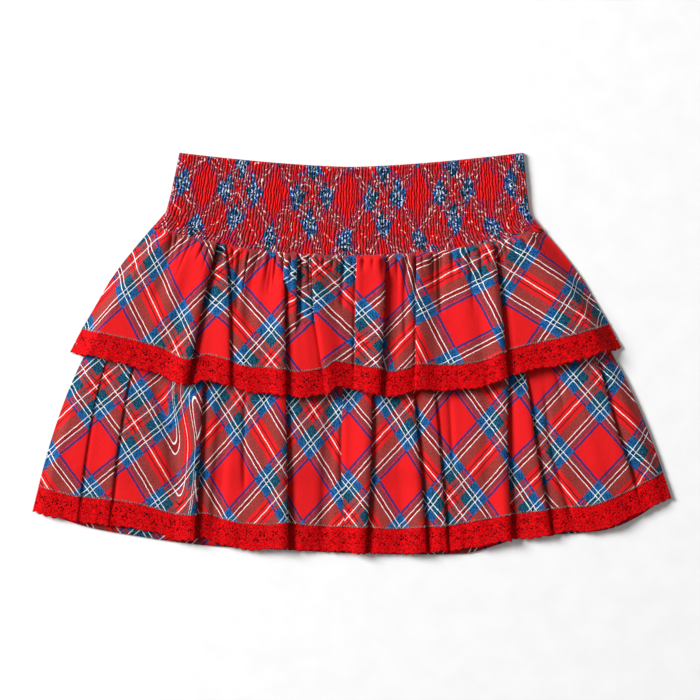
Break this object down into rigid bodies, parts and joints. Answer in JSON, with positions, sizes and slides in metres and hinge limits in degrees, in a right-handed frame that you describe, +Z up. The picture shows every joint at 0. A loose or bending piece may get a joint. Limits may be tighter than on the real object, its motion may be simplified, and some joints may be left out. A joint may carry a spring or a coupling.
{
  "type": "tiered mini skort laid flat",
  "caption": "Mini skort laid flat: smocked waistband, gathered upper and lower tartan tiers with lace hems, and hidden inner shorts.",
  "frame": {"origin": "under the middle of the garment's box, on the surface that it lies on", "axes": "+X to the right of the laid garment, +Y towards the waist, +Z up from the surface, out of the front"},
  "size_m": [0.6076, 0.3834, 0.024],
  "materials": {
    "tartan_cotton": "soft brushed yarn-dyed tartan cotton, matt",
    "smocked_tartan": "the same tartan, puckered on shirring elastic, matt",
    "cotton_lace": "close crochet-type red cotton lace, matt",
    "plain_cotton": "plain red cotton, matt"
  },
  "bodies": {
    "root": {"waistband_front": "smocked_tartan", "waistband_back": "smocked_tartan", "upper_tier_front": "tartan_cotton", "upper_tier_back": "tartan_cotton", "upper_lace_front": "cotton_lace", "upper_lace_back": "cotton_lace", "lower_tier_front": "tartan_cotton", "lower_tier_back": "tartan_cotton", "lower_lace_front": "cotton_lace", "lower_lace_back": "cotton_lace", "shorts_front": "plain_cotton", "shorts_back": "plain_cotton"}
  },
  "joints": []
}
